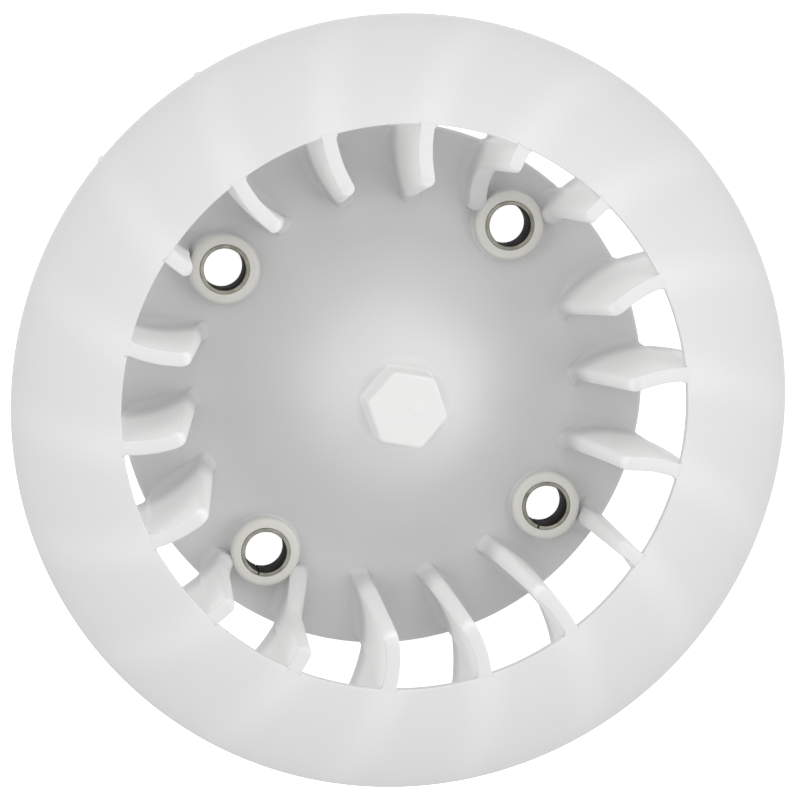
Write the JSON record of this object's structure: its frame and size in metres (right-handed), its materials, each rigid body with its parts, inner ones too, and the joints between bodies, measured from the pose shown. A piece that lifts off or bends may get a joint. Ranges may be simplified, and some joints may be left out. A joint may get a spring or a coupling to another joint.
{
  "type": "flywheel cooling fan",
  "caption": "Bladed flywheel cooling fan: domed hub with sleeved bolt bosses and a turning hexagon, curved blades and a flat conical shroud ring around the inlet.",
  "frame": {"origin": "on the fan's axis, at the face that bolts to the flywheel", "axes": "+Z along the axis towards the air inlet; the four bolts lie at 45 degrees to X and Y"},
  "size_m": [0.15, 0.15, 0.036],
  "materials": {
    "nylon": "moulded natural nylon, milky and slightly translucent",
    "sleeve_steel": "rolled steel tube, dull grey-brown"
  },
  "bodies": {
    "root": {"hub_plate": "nylon", "hexagon": "nylon", "shroud_ring": "nylon", "bolt_boss_1": "nylon", "bolt_boss_2": "nylon", "bolt_boss_3": "nylon", "bolt_boss_4": "nylon", "sleeve_1": "sleeve_steel", "sleeve_2": "sleeve_steel", "sleeve_3": "sleeve_steel", "sleeve_4": "sleeve_steel", "blade_01": "nylon", "blade_02": "nylon", "blade_03": "nylon", "blade_04": "nylon", "blade_05": "nylon", "blade_06": "nylon", "blade_07": "nylon", "blade_08": "nylon", "blade_09": "nylon", "blade_10": "nylon", "blade_11": "nylon", "blade_12": "nylon", "blade_13": "nylon", "blade_14": "nylon", "blade_15": "nylon", "blade_16": "nylon", "blade_17": "nylon", "blade_18": "nylon"}
  },
  "joints": []
}
